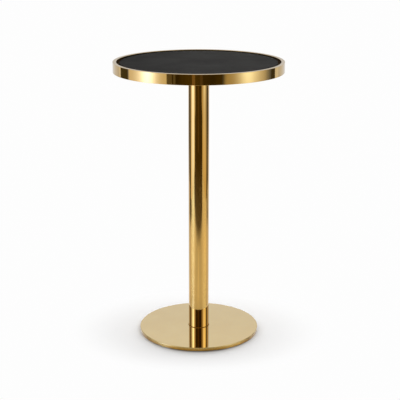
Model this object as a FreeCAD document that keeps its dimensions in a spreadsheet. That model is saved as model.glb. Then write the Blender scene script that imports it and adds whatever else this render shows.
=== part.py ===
import FreeCAD, Part

import math
import os

import Sketcher

# Round bar table: a brass-coloured band round a recessed black top, a tube for a column and a flat round base.
# Millimetres, +Z up. The origin is on the floor, on the column's axis.
#
# How it is held together: the tie rod is screwed into the base weight, and the lower nut clamps the foot
# collar, the base cover and the weight together. The tube stands on a gasket round the foot collar. The upper
# nut lies in a pocket of the board and pulls the spider down on the tube. The board is screwed to the spider's
# arms. The ring is glued on the board, the rim band is dropped over both, and its lower flange is rolled in
# under the board.

SHEET = "Sizes"

DIMENSIONS = {
    # Whole table
    "table_height": 1034.0,
    "top_diameter": 620.0,
    "column_diameter": 76.0,
    "base_diameter": 452.0,
    # Rim band: outer wall, lip, inner wall and the flange rolled in below
    "rim_wall": 1.5,
    "lip_width": 13.0,
    "return_flange": 8.0,
    "rim_edge_radius": 0.8,
    # Board, ring, inset and backing sheet
    "board_thickness": 25.0,
    "board_gap": 0.2,
    "shadow_gap": 12.0,
    "inset_thickness": 8.0,
    "inset_recess": 2.5,
    "inset_chamfer": 0.5,
    "backing_thickness": 0.8,
    "backing_gap": 0.5,
    # Spider under the board
    "spider_thickness": 6.0,
    "hub_overhang": 27.0,
    "arm_end_gap": 97.0,
    "arm_width": 44.0,
    "arm_tip_radius": 14.0,
    # Wood screws
    "screw_diameter": 4.8,
    "screw_end_gap": 23.0,
    "screw_cover": 6.0,
    "screw_tip": 4.0,
    "screw_head_overhang": 2.6,
    "screw_head_height": 3.2,
    "screw_head_bevel": 1.2,
    "screw_socket_diameter": 4.0,
    "screw_socket_depth": 1.8,
    "screw_hole_gap": 0.4,
    "pilot_gap": 0.05,
    # Tie rod, nuts and washers
    "rod_diameter": 12.0,
    "rod_chamfer": 1.0,
    "rod_recess": 0.5,
    "rod_overrun": 2.0,
    "rod_clearance": 0.3,
    "thread_gap": 0.05,
    "nut_wall": 3.0,
    "top_nut_height": 10.0,
    "jam_nut_height": 6.0,
    "washer_rim": 10.0,
    "washer_thickness": 2.5,
    "pocket_clearance": 3.0,
    "pocket_headroom": 1.0,
    # Column
    "column_wall": 1.5,
    "collar_gap": 0.2,
    "collar_chamfer": 1.5,
    "upper_collar_wall": 4.0,
    "upper_collar_height": 20.0,
    "foot_collar_height": 14.0,
    "gasket_thickness": 1.2,
    "gasket_overhang": 1.5,
    # Base
    "floor_gap": 1.5,
    "cover_wall": 1.2,
    "cover_bend_radius": 1.0,
    "weight_thickness": 9.0,
    "weight_gap": 0.3,
    "weight_chamfer": 1.0,
    # Levelling glides
    "glide_edge_gap": 36.0,
    "glide_running_gap": 0.3,
    "stud_diameter": 8.0,
    "stud_headroom": 0.5,
    "stud_chamfer": 0.8,
    "stud_head_overhang": 3.5,
    "stud_head_thickness": 1.2,
    "pad_wall": 6.5,
    "pad_floor": 1.3,
    "pad_roof": 0.95,
    "pad_gap": 0.05,
    "pad_edge_radius": 0.8,
}

SPIDER_ARMS = 4
GLIDES = 4
FIRST_GLIDE_ANGLE = 45.0
NUT_SIDES = 6
FULL_TURN = 360.0
FIND_TOLERANCE = 0.01

# Radii, worked out from the sheet
TOP_RADIUS = "Sizes.top_diameter / 2"
RIM_INSIDE = f"({TOP_RADIUS} - Sizes.rim_wall)"
LIP_INSIDE = f"({TOP_RADIUS} - Sizes.lip_width)"
LIP_BACK = f"({LIP_INSIDE} + Sizes.rim_wall)"
FLANGE_INSIDE = f"({TOP_RADIUS} - Sizes.return_flange)"
BOARD_RADIUS = f"({RIM_INSIDE} - Sizes.board_gap)"
INSET_RADIUS = f"({LIP_INSIDE} - Sizes.shadow_gap)"
COLUMN_RADIUS = "Sizes.column_diameter / 2"
TUBE_BORE = f"({COLUMN_RADIUS} - Sizes.column_wall)"
COLLAR_RADIUS = f"({TUBE_BORE} - Sizes.collar_gap)"
HUB_RADIUS = f"({COLUMN_RADIUS} + Sizes.hub_overhang)"
ARM_REACH = f"({FLANGE_INSIDE} - Sizes.arm_end_gap)"
ROD_RADIUS = "Sizes.rod_diameter / 2"
ROD_HOLE = f"({ROD_RADIUS} + Sizes.rod_clearance)"
THREADED_ROD_HOLE = f"({ROD_RADIUS} + Sizes.thread_gap)"
NUT_HALF_WIDTH = f"({ROD_RADIUS} + Sizes.nut_wall)"
WASHER_RADIUS = f"({ROD_RADIUS} + Sizes.washer_rim)"
POCKET_RADIUS = f"({WASHER_RADIUS} + Sizes.pocket_clearance)"
SCREW_RADIUS = "Sizes.screw_diameter / 2"
STUD_RADIUS = "Sizes.stud_diameter / 2"
STUD_HEAD_RADIUS = f"({STUD_RADIUS} + Sizes.stud_head_overhang)"
PAD_RADIUS = f"({STUD_HEAD_RADIUS} + Sizes.pad_wall)"
BASE_RADIUS = "Sizes.base_diameter / 2"
COVER_INSIDE = f"({BASE_RADIUS} - Sizes.cover_wall)"
WEIGHT_RADIUS = f"({COVER_INSIDE} - Sizes.weight_gap)"
GLIDE_PLACE = f"({BASE_RADIUS} - Sizes.glide_edge_gap)"

# Where the two screws of an arm stand, from the table's axis
OUTER_SCREW = f"({ARM_REACH} - Sizes.screw_end_gap)"
INNER_SCREW = f"(({HUB_RADIUS} + {OUTER_SCREW}) / 2)"

# Heights above the floor, worked out from the sheet: the base is stacked up from it, the top down from the lip
PAD_HEIGHT = "(Sizes.pad_floor + Sizes.stud_head_thickness + Sizes.pad_gap + Sizes.pad_roof)"
WEIGHT_BOTTOM = f"({PAD_HEIGHT} + Sizes.glide_running_gap)"
WEIGHT_TOP = f"({WEIGHT_BOTTOM} + Sizes.weight_thickness)"
COVER_TOP = f"({WEIGHT_TOP} + Sizes.cover_wall)"
COLLAR_TOP = f"({COVER_TOP} + Sizes.foot_collar_height)"
TUBE_BOTTOM = f"({COVER_TOP} + Sizes.gasket_thickness)"
RECESS_DEPTH = "(Sizes.inset_recess + Sizes.inset_thickness)"
RECESS_FLOOR = f"(Sizes.table_height - {RECESS_DEPTH})"
BOARD_BOTTOM = f"({RECESS_FLOOR} - Sizes.board_thickness)"
RIM_BOTTOM = f"({BOARD_BOTTOM} - Sizes.rim_wall)"
RIM_HEIGHT = f"(Sizes.table_height - {RIM_BOTTOM})"
SPIDER_TOP = f"({BOARD_BOTTOM} - Sizes.backing_thickness)"
SPIDER_BOTTOM = f"({SPIDER_TOP} - Sizes.spider_thickness)"
SCREW_END = f"({RECESS_FLOOR} - Sizes.screw_cover)"
ROD_BOTTOM = f"({WEIGHT_BOTTOM} + Sizes.rod_recess)"
ROD_TOP = f"({SPIDER_TOP} + Sizes.washer_thickness + Sizes.top_nut_height + Sizes.rod_overrun)"

doc = FreeCAD.newDocument("BarTable")
sheet = doc.addObject("Spreadsheet::Sheet", SHEET)
for row, (alias, number) in enumerate(DIMENSIONS.items(), start=1):
    sheet.set(f"A{row}", alias)
    sheet.set(f"B{row}", str(number))
    sheet.setAlias(f"B{row}", alias)
doc.recompute()

parts = []


def measure(expression):
    """The number that an expression on the sheet's sizes gives."""
    return float(sheet.evalExpression(expression))


def new_body(label, level="0", across="0", along="0"):
    """A body for one sub-part, whose own origin stands at that place above the floor."""
    body = doc.addObject("PartDesign::Body", label)
    body.Label = label
    body.setExpression("Placement.Base.x", across)
    body.setExpression("Placement.Base.y", along)
    body.setExpression("Placement.Base.z", level)
    parts.append(body)
    return body


def origin_part(body, role):
    """One of the body's own origin planes or axes."""
    return next(part for part in body.Origin.OriginFeatures if part.Role == role)


def new_sketch(body, name, plane="XY_Plane"):
    """An empty sketch on one of the body's own planes."""
    sketch = body.newObject("Sketcher::SketchObject", name)
    sketch.AttachmentSupport = [(origin_part(body, plane), "")]
    sketch.MapMode = "FlatFace"
    return sketch


def bind(sketch, kind, places, expression):
    """Adds one dimension to the sketch and ties it to an expression on the sheet."""
    index = sketch.addConstraint(Sketcher.Constraint(kind, *places, measure(expression)))
    sketch.setExpression(f"Constraints[{index}]", expression)


def fix_point(sketch, line, end, across, up):
    """Ties one sketch point to its distances from the sketch's axes."""
    for kind, axis, distance in (("DistanceX", -2, across), ("DistanceY", -1, up)):
        if measure(distance) == 0:
            sketch.addConstraint(Sketcher.Constraint("PointOnObject", line, end, axis))
        else:
            bind(sketch, kind, (line, end), distance)


def sketch_point(across, up):
    """A point of a sketch from two expressions."""
    return FreeCAD.Vector(measure(across), measure(up), 0)


def outline(sketch, corners):
    """A closed outline of straight lines, each corner given by two expressions."""
    points = [sketch_point(across, up) for across, up in corners]
    lines = [
        sketch.addGeometry(Part.LineSegment(point, points[(place + 1) % len(points)]), False)
        for place, point in enumerate(points)
    ]
    for place, line in enumerate(lines):
        following = lines[(place + 1) % len(lines)]
        sketch.addConstraint(Sketcher.Constraint("Coincident", line, 2, following, 1))
    for line, (across, up) in zip(lines, corners):
        fix_point(sketch, line, 1, across, up)


def circle(sketch, radius, across="0", up="0"):
    """A circle whose radius and centre are tied to expressions."""
    round_line = Part.Circle(sketch_point(across, up), FreeCAD.Vector(0, 0, 1), measure(radius))
    added = sketch.addGeometry(round_line, False)
    fix_point(sketch, added, 3, across, up)
    bind(sketch, "Radius", (added,), radius)


def turn(body, name, sketch, axis):
    """Turns a sketch right round one of its own axes into a solid."""
    turned = body.newObject("PartDesign::Revolution", name)
    turned.Profile = sketch
    turned.ReferenceAxis = (sketch, [axis])
    turned.Angle = FULL_TURN
    doc.recompute()
    return turned


def revolve(body, name, corners):
    """Turns an outline, given as distances from the body's axis and heights, into a round solid."""
    sketch = new_sketch(body, f"{name}_outline", "XZ_Plane")
    outline(sketch, corners)
    return turn(body, name, sketch, "V_Axis")


def pad(body, name, sketch, thickness):
    """Raises a sketch upwards by a thickness."""
    raised = body.newObject("PartDesign::Pad", name)
    raised.Profile = sketch
    raised.setExpression("Length", thickness)
    doc.recompute()
    return raised


def cut_upwards(body, name, sketch, depth=None):
    """Cuts a sketch on the body's lower plane upwards, by a depth or right through, and tests that it cuts."""
    before = body.Shape.Volume
    pocket = body.newObject("PartDesign::Pocket", name)
    pocket.Profile = sketch
    pocket.Reversed = True
    if depth is None:
        pocket.Type = "ThroughAll"
    else:
        pocket.setExpression("Length", depth)
    doc.recompute()
    if body.Shape.Volume >= before:
        raise RuntimeError(f"{name} in {body.Label} cuts nothing")
    return pocket


def repeat_round(body, name, features, count):
    """Repeats features evenly round the body's upright axis."""
    pattern = body.newObject("PartDesign::PolarPattern", name)
    pattern.Originals = features
    pattern.Axis = (origin_part(body, "Z_Axis"), [""])
    pattern.Angle = FULL_TURN
    pattern.Occurrences = count
    body.Tip = pattern
    doc.recompute()
    return pattern


def round_edges(feature, radius, height):
    """The names of a feature's round edges that have a radius and a height on the body."""
    return [
        f"Edge{number}"
        for number, edge in enumerate(feature.Shape.Edges, start=1)
        if isinstance(edge.Curve, Part.Circle)
        and abs(edge.Curve.Radius - measure(radius)) < FIND_TOLERANCE
        and abs(edge.Curve.Center.z - measure(height)) < FIND_TOLERANCE
    ]


def soften(body, kind, name, feature, edges, size):
    """Rounds or chamfers edges of the body's last feature."""
    if not edges:
        raise RuntimeError(f"{name} in {body.Label} finds no edge")
    softened = body.newObject(f"PartDesign::{kind}", name)
    softened.Base = (feature, edges)
    softened.setExpression("Radius" if kind == "Fillet" else "Size", size)
    doc.recompute()
    return softened


def round_disc(label, radius, thickness, level, bore=None):
    """A flat disc or ring on the table's axis, with its lower face at a level."""
    body = new_body(label, level)
    sketch = new_sketch(body, "face")
    circle(sketch, radius)
    if bore is not None:
        circle(sketch, bore)
    return body, pad(body, "disc", sketch, thickness)


def make_rim_band():
    """The polished band: outer wall, flat lip, inner wall down to the board, and the flange rolled in below."""
    body = new_body("rim_band", RIM_BOTTOM)
    under_lip = f"({RIM_HEIGHT} - Sizes.rim_wall)"
    inner_foot = f"({RIM_HEIGHT} - {RECESS_DEPTH})"
    band = revolve(body, "band", [
        (FLANGE_INSIDE, "0"),
        (TOP_RADIUS, "0"),
        (TOP_RADIUS, RIM_HEIGHT),
        (LIP_INSIDE, RIM_HEIGHT),
        (LIP_INSIDE, inner_foot),
        (LIP_BACK, inner_foot),
        (LIP_BACK, under_lip),
        (RIM_INSIDE, under_lip),
        (RIM_INSIDE, "Sizes.rim_wall"),
        (FLANGE_INSIDE, "Sizes.rim_wall"),
    ])
    edges = round_edges(band, TOP_RADIUS, RIM_HEIGHT)
    edges += round_edges(band, LIP_INSIDE, RIM_HEIGHT)
    edges += round_edges(band, TOP_RADIUS, "0")
    soften(body, "Fillet", "soft_edges", band, edges, "Sizes.rim_edge_radius")


def make_board():
    """The board with its nut pocket and pilot holes, and the ring glued on it that backs the lip."""
    board, _ = round_disc("core_board", BOARD_RADIUS, "Sizes.board_thickness", BOARD_BOTTOM)
    pocket = new_sketch(board, "pocket_face")
    circle(pocket, POCKET_RADIUS)
    cut_upwards(board, "nut_pocket", pocket, f"({ROD_TOP} + Sizes.pocket_headroom - {BOARD_BOTTOM})")
    depth = f"({SCREW_END} + Sizes.screw_hole_gap - {BOARD_BOTTOM})"
    screw_holes(board, f"({SCREW_RADIUS} + Sizes.pilot_gap)", depth)
    height = f"({RECESS_DEPTH} - Sizes.rim_wall)"
    round_disc("edge_ring", BOARD_RADIUS, height, RECESS_FLOOR, f"({LIP_BACK} + Sizes.board_gap)")


def screw_holes(body, radius, depth=None):
    """Two holes in line on each of the spider's arms."""
    holes = new_sketch(body, "hole_pair")
    circle(holes, radius, INNER_SCREW)
    circle(holes, radius, OUTER_SCREW)
    pair = cut_upwards(body, "arm_holes", holes, depth)
    repeat_round(body, "all_holes", [pair], SPIDER_ARMS)


def make_facings():
    """The black inset that lies in the recess, and the thin backing sheet on the board's underside."""
    inset, disc = round_disc("inset_panel", INSET_RADIUS, "Sizes.inset_thickness", RECESS_FLOOR)
    edges = round_edges(disc, INSET_RADIUS, "Sizes.inset_thickness")
    soften(inset, "Chamfer", "broken_edge", disc, edges, "Sizes.inset_chamfer")
    edge = f"({FLANGE_INSIDE} - Sizes.backing_gap)"
    backing, _ = round_disc("backing_sheet", edge, "Sizes.backing_thickness", SPIDER_TOP, POCKET_RADIUS)
    screw_holes(backing, f"({SCREW_RADIUS} + Sizes.screw_hole_gap)")


def make_top_spider():
    """A flat hub with four arms, drilled for the tie rod and for two screws on each arm."""
    body = new_body("top_spider", SPIDER_BOTTOM)
    hub_face = new_sketch(body, "hub_face")
    circle(hub_face, HUB_RADIUS)
    pad(body, "hub", hub_face, "Sizes.spider_thickness")
    arm_face = new_sketch(body, "arm_face")
    half_width = "Sizes.arm_width / 2"
    outline(arm_face, [
        ("0", f"-{half_width}"),
        (ARM_REACH, f"-{half_width}"),
        (ARM_REACH, half_width),
        ("0", half_width),
    ])
    arm = pad(body, "arm", arm_face, "Sizes.spider_thickness")
    arms = repeat_round(body, "arms", [arm], SPIDER_ARMS)
    tip = math.hypot(measure(ARM_REACH), measure(half_width))
    corners = [
        f"Edge{number}"
        for number, edge in enumerate(arms.Shape.Edges, start=1)
        if all(abs(math.hypot(end.X, end.Y) - tip) < FIND_TOLERANCE for end in edge.Vertexes)
        and abs(edge.Vertexes[0].Z - edge.Vertexes[-1].Z) > FIND_TOLERANCE
    ]
    soften(body, "Fillet", "arm_tips", arms, corners, "Sizes.arm_tip_radius")
    centre = new_sketch(body, "rod_face")
    circle(centre, ROD_HOLE)
    cut_upwards(body, "rod_hole", centre)
    screw_holes(body, f"({SCREW_RADIUS} + Sizes.screw_hole_gap)")


def screw_outline(place):
    """Half the outline of a pan-head wood screw that stands on its head at a place on the X axis."""
    shank = f"({place} + {SCREW_RADIUS})"
    head = f"({shank} + Sizes.screw_head_overhang)"
    socket = f"({place} + Sizes.screw_socket_diameter / 2)"
    end = f"(Sizes.screw_head_height + {SCREW_END} - {SPIDER_BOTTOM})"
    return [
        (place, "Sizes.screw_socket_depth"),
        (socket, "Sizes.screw_socket_depth"),
        (socket, "0"),
        (f"({head} - Sizes.screw_head_bevel)", "0"),
        (head, "Sizes.screw_head_bevel"),
        (head, "Sizes.screw_head_height"),
        (shank, "Sizes.screw_head_height"),
        (shank, f"({end} - Sizes.screw_tip)"),
        (place, end),
    ]


def make_spider_screws():
    """Eight wood screws that hold the board on the spider, two on each arm."""
    body = new_body("spider_screws", f"({SPIDER_BOTTOM} - Sizes.screw_head_height)")
    body.AllowCompound = True
    screws = []
    for name, place in (("inner", INNER_SCREW), ("outer", OUTER_SCREW)):
        sketch = new_sketch(body, f"{name}_outline", "XZ_Plane")
        outline(sketch, screw_outline(place))
        foot = sketch_point(place, "0")
        axis = sketch.addGeometry(Part.LineSegment(foot, sketch_point(place, "Sizes.screw_head_height")), True)
        fix_point(sketch, axis, 1, place, "0")
        fix_point(sketch, axis, 2, place, "Sizes.screw_head_height")
        screws.append(turn(body, f"{name}_screw", sketch, "Axis0"))
    repeat_round(body, "all_screws", screws, SPIDER_ARMS)


def make_tie_rod():
    """The threaded rod from the base weight to above the upper nut, drawn at its thread's outer diameter."""
    length = f"({ROD_TOP} - {ROD_BOTTOM})"
    body, rod = round_disc("tie_rod", ROD_RADIUS, length, ROD_BOTTOM)
    ends = round_edges(rod, ROD_RADIUS, "0") + round_edges(rod, ROD_RADIUS, length)
    soften(body, "Chamfer", "rod_ends", rod, ends, "Sizes.rod_chamfer")


def make_nut(label, height, level):
    """A hexagon nut on the tie rod: a prism with the rod's hole cut out."""
    block = doc.addObject("Part::Prism", f"{label}_block")
    block.Polygon = NUT_SIDES
    block.setExpression("Circumradius", f"{NUT_HALF_WIDTH} / cos({FULL_TURN / 2 / NUT_SIDES} deg)")
    block.setExpression("Height", height)
    hole = doc.addObject("Part::Cylinder", f"{label}_hole")
    hole.setExpression("Radius", THREADED_ROD_HOLE)
    hole.setExpression("Height", height)
    nut = doc.addObject("Part::Cut", label)
    nut.Label = label
    nut.Base = block
    nut.Tool = hole
    nut.setExpression("Placement.Base.z", level)
    parts.append(nut)


def make_fasteners():
    """The rod's nuts and washers: one pair on the spider, one pair on the foot collar."""
    round_disc("top_washer", WASHER_RADIUS, "Sizes.washer_thickness", SPIDER_TOP, ROD_HOLE)
    make_nut("top_nut", "Sizes.top_nut_height", f"({SPIDER_TOP} + Sizes.washer_thickness)")
    round_disc("collar_washer", WASHER_RADIUS, "Sizes.washer_thickness", COLLAR_TOP, ROD_HOLE)
    make_nut("jam_nut", "Sizes.jam_nut_height", f"({COLLAR_TOP} + Sizes.washer_thickness)")


def make_column():
    """The tube, the collars that centre its ends and the gasket under it."""
    round_disc("column_tube", COLUMN_RADIUS, f"({SPIDER_BOTTOM} - {TUBE_BOTTOM})", TUBE_BOTTOM, TUBE_BORE)
    height = "Sizes.upper_collar_height"
    bore = f"({COLLAR_RADIUS} - Sizes.upper_collar_wall)"
    upper, sleeve = round_disc("upper_collar", COLLAR_RADIUS, height, f"({SPIDER_BOTTOM} - {height})", bore)
    soften(upper, "Chamfer", "lead_in", sleeve, round_edges(sleeve, COLLAR_RADIUS, "0"), "Sizes.collar_chamfer")
    height = "Sizes.foot_collar_height"
    foot, plug = round_disc("foot_collar", COLLAR_RADIUS, height, COVER_TOP, ROD_HOLE)
    soften(foot, "Chamfer", "lead_in", plug, round_edges(plug, COLLAR_RADIUS, height), "Sizes.collar_chamfer")
    edge = f"({COLUMN_RADIUS} + Sizes.gasket_overhang)"
    round_disc("column_gasket", edge, "Sizes.gasket_thickness", COVER_TOP, TUBE_BORE)


def make_base_cover():
    """The polished skin of the base: a flat disc whose edge is turned down to just above the floor."""
    body = new_body("base_cover", "Sizes.floor_gap")
    height = f"({COVER_TOP} - Sizes.floor_gap)"
    inside_top = f"({height} - Sizes.cover_wall)"
    skin = revolve(body, "skin", [
        (ROD_HOLE, inside_top),
        (COVER_INSIDE, inside_top),
        (COVER_INSIDE, "0"),
        (BASE_RADIUS, "0"),
        (BASE_RADIUS, height),
        (ROD_HOLE, height),
    ])
    outer = round_edges(skin, BASE_RADIUS, height)
    turned = soften(body, "Fillet", "outer_bend", skin, outer, "(Sizes.cover_bend_radius + Sizes.cover_wall)")
    inner = round_edges(turned, COVER_INSIDE, inside_top)
    soften(body, "Fillet", "inner_bend", turned, inner, "Sizes.cover_bend_radius")


def make_base_weight():
    """The steel disc under the skin, tapped in the middle for the tie rod and near its edge for the glides."""
    thickness = "Sizes.weight_thickness"
    body, disc = round_disc("base_weight", WEIGHT_RADIUS, thickness, WEIGHT_BOTTOM, THREADED_ROD_HOLE)
    upper_edge = round_edges(disc, WEIGHT_RADIUS, thickness)
    upper = soften(body, "Chamfer", "bend_relief", disc, upper_edge, "Sizes.cover_bend_radius")
    soften(body, "Chamfer", "lower_edge", upper, round_edges(upper, WEIGHT_RADIUS, "0"), "Sizes.weight_chamfer")
    tapped = new_sketch(body, "tapped_face")
    circle(tapped, f"({STUD_RADIUS} + Sizes.thread_gap)", *glide_place(0))
    hole = cut_upwards(body, "tapped_hole", tapped)
    repeat_round(body, "tapped_holes", [hole], GLIDES)


def glide_place(index):
    """Where a glide stands, as two expressions."""
    angle = FIRST_GLIDE_ANGLE + index * FULL_TURN / GLIDES
    return f"({GLIDE_PLACE} * cos({angle} deg))", f"({GLIDE_PLACE} * sin({angle} deg))"


def make_glide(index):
    """A levelling glide: a threaded stud whose flat head turns in a low plastic pad."""
    across, along = glide_place(index)
    stud = new_body(f"glide_stud_{index + 1}", "Sizes.pad_floor", across, along)
    top = f"({WEIGHT_TOP} - Sizes.stud_headroom - Sizes.pad_floor)"
    shank = revolve(stud, "stud", [
        ("0", "0"),
        (STUD_HEAD_RADIUS, "0"),
        (STUD_HEAD_RADIUS, "Sizes.stud_head_thickness"),
        (STUD_RADIUS, "Sizes.stud_head_thickness"),
        (STUD_RADIUS, top),
        ("0", top),
    ])
    soften(stud, "Chamfer", "stud_end", shank, round_edges(shank, STUD_RADIUS, top), "Sizes.stud_chamfer")

    head_room = f"({STUD_HEAD_RADIUS} + Sizes.pad_gap)"
    neck = f"({STUD_RADIUS} + Sizes.pad_gap)"
    under_roof = f"({PAD_HEIGHT} - Sizes.pad_roof)"
    foot = new_body(f"glide_pad_{index + 1}", "0", across, along)
    moulded = revolve(foot, "pad", [
        ("0", "0"),
        (PAD_RADIUS, "0"),
        (PAD_RADIUS, PAD_HEIGHT),
        (neck, PAD_HEIGHT),
        (neck, under_roof),
        (head_room, under_roof),
        (head_room, "Sizes.pad_floor"),
        ("0", "Sizes.pad_floor"),
    ])
    edges = round_edges(moulded, PAD_RADIUS, "0")
    soften(foot, "Fillet", "floor_edge", moulded, edges, "Sizes.pad_edge_radius")


def check(made):
    """Stops the script if any object of the document failed or a sub-part has no sound solid."""
    for item in doc.Objects:
        if "Invalid" in item.State or "Error" in item.State:
            raise RuntimeError(f"{item.Name} failed: {item.State}")
    for part in made:
        shape = part.Shape
        if shape.isNull() or not shape.isValid() or not shape.Solids:
            raise RuntimeError(f"{part.Label} has no sound solid")
        print(part.Label, "solids", len(shape.Solids), "volume", round(shape.Volume, 1))


def export(made):
    """Writes each sub-part to a STEP file that bears its name."""
    os.makedirs("parts", exist_ok=True)
    for part in made:
        part.Shape.exportStep(os.path.join("parts", f"{part.Label}.step"))


make_rim_band()
make_board()
make_facings()
make_top_spider()
make_spider_screws()
make_tie_rod()
make_fasteners()
make_column()
make_base_cover()
make_base_weight()
for glide in range(GLIDES):
    make_glide(glide)
doc.recompute()
check(parts)
export(parts)
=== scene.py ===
"""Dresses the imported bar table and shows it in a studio.

It makes the finishes and the fine fasteners, and then the studio and the camera. Every piece stands
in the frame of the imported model: metres, +Z up, origin on the floor under the column. Fields that
end in _mm are in millimetres, because that is how the real pieces are measured.
"""

import logging
import math
from abc import ABC, abstractmethod
from collections.abc import Callable, Iterator, Sequence
from dataclasses import dataclass
from enum import Enum

import bmesh
import bpy
from mathutils import Matrix, Vector


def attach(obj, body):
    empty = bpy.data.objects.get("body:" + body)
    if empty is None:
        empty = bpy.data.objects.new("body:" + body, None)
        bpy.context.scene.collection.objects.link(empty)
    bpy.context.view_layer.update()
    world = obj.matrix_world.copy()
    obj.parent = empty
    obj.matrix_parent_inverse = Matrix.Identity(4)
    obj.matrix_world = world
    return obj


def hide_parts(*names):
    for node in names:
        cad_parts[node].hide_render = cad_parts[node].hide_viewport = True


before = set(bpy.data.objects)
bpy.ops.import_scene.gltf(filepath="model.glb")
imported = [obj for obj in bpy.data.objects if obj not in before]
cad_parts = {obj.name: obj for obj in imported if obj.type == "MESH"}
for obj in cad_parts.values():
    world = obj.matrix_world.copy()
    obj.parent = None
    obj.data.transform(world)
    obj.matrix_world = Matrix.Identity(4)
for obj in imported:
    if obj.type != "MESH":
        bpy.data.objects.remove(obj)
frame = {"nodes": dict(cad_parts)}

LOG = logging.getLogger("bar_table")
PHOTO_SIDE = 400
MM = 0.001
QUARTER_TURN = math.pi / 2
# Faces that meet at a larger angle than this meet at an edge that looks sharp.
SHARP_EDGE = math.radians(32)
# How many points go round the table's wide pieces and round its screws.
WIDE_COLUMNS = 288
SCREW_COLUMNS = 48
# How many flat steps draw a rounded corner and one pitch of a thread.
BEND_STEPS = 6
THREAD_STEPS = 10
# Nearly all values of a noise node lie between these two.
NOISE_LOW, NOISE_HIGH = 0.3, 0.7
# The heights of the thin layers on the studio floor, in metres.
POLISH_HEIGHT, GLOW_HEIGHT, CLOTH_HEIGHT, CARPET_HEIGHT = 0.0005, 0.001, 0.002, 0.003
# The share of its light that a card keeps at a soft end.
SOFT_END = 0.1
# Light that has met more mirrors than this has met two or more.
ONE_MIRROR = 1.5
# Settings that several nodes share.
SMOOTH = {"interpolation_type": "SMOOTHSTEP"}
IN_COLOUR = {"data_type": "RGBA"}
# The numbers of a mix node's share and colours among its inputs, and of the mix among its outputs.
SHARE, FIRST, SECOND = 0, 6, 7
MIX = 2

Item = bpy.types.Object
Material = bpy.types.Material
Tree = bpy.types.NodeTree
Socket = bpy.types.NodeSocket
Rgba = tuple[float, float, float, float]
Point = tuple[float, float, float]
Pair = tuple[float, float]
Corners = tuple[Pair, ...]
RadiusAt = Callable[[float], float]


def linear(hex_code: str) -> Rgba:
    """Turns an sRGB hex colour into the linear light that Blender's sockets take.

    Args:
        hex_code: Six hex digits after a #, red first.

    Returns:
        Linear red, green and blue, and an alpha of 1.
    """
    shares = [int(hex_code[place : place + 2], 16) / 255 for place in (1, 3, 5)]
    red, green, blue = (
        share / 12.92 if share <= 0.04045 else ((share + 0.055) / 1.055) ** 2.4 for share in shares
    )
    return red, green, blue, 1.0


def add_node(
    tree: Tree,
    kind: str,
    settings: dict[str, object] | None = None,
    inputs: dict[str | int, object] | None = None,
    output: str | int = 0,
) -> Socket | None:
    """Adds a node to a tree, with its settings and with what goes into it.

    Args:
        tree: The tree that gets the node.
        kind: Blender's name for the kind of node, after the word ShaderNode.
        settings: Properties of the node and their values.
        inputs: For each input, by name or number, a constant or the socket that is linked to it.
        output: The output that is wanted, by name or number.

    Returns:
        That output, or None for a node that ends its tree.
    """
    node = tree.nodes.new("ShaderNode" + kind)
    for name, value in (settings or {}).items():
        setattr(node, name, value)
    for name, value in (inputs or {}).items():
        if isinstance(value, Socket):
            tree.links.new(value, node.inputs[name])
        else:
            node.inputs[name].default_value = value
    return node.outputs[output] if node.outputs else None


def drawn_material(name: str, draw: Callable[[Tree, Socket], Socket]) -> Material:
    """Makes a material.

    Args:
        name: Its name.
        draw: Adds its nodes to a tree, given the point on the piece, and returns its shader.

    Returns:
        The material.
    """
    material = bpy.data.materials.new(name)
    material.use_nodes = True
    tree = material.node_tree
    tree.nodes.clear()
    surface = draw(tree, add_node(tree, "TexCoord", output="Object"))
    add_node(tree, "OutputMaterial", inputs={"Surface": surface})
    return material


class Slot(Enum):
    """The names of the brass and zinc material slots."""

    BRASS = "polished_brass"
    ZINC = "zinc_steel"


class Stretch(Enum):
    """How a pattern is drawn out: the share of its scale that is left along X, Y and Z."""

    NONE = (1.0, 1.0, 1.0)
    UPRIGHT = (1.0, 1.0, 0.02)
    LEVEL_RINGS = (0.02, 0.02, 1.0)
    ALONG_X = (0.06, 1.0, 1.0)


@dataclass(frozen=True)
class Pattern:
    """A cloudy pattern.

    Attributes:
        size_mm: The width of one cloud.
        stretch: The direction in which the clouds are drawn out.
        detail: How many finer layers lie on the first.
    """

    size_mm: float
    stretch: Stretch = Stretch.NONE
    detail: float = 2.0

    def draw(self, tree: Tree, place: Socket, low: float = 0.0, high: float = 1.0) -> Socket:
        """Draws the pattern.

        Args:
            tree: The material's node tree.
            place: The point on the piece, in metres.
            low: The value where the pattern is lowest.
            high: The value where it is highest.

        Returns:
            The pattern's value.
        """
        drawn = add_node(tree, "Mapping", inputs={"Vector": place, "Scale": self.stretch.value})
        scale = 1 / (self.size_mm * MM)
        clouds = add_node(
            tree, "TexNoise", inputs={"Vector": drawn, "Scale": scale, "Detail": self.detail}
        )
        ends = {"From Min": NOISE_LOW, "From Max": NOISE_HIGH, "To Min": low, "To Max": high}
        return add_node(tree, "MapRange", inputs={"Value": clouds, **ends})


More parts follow.
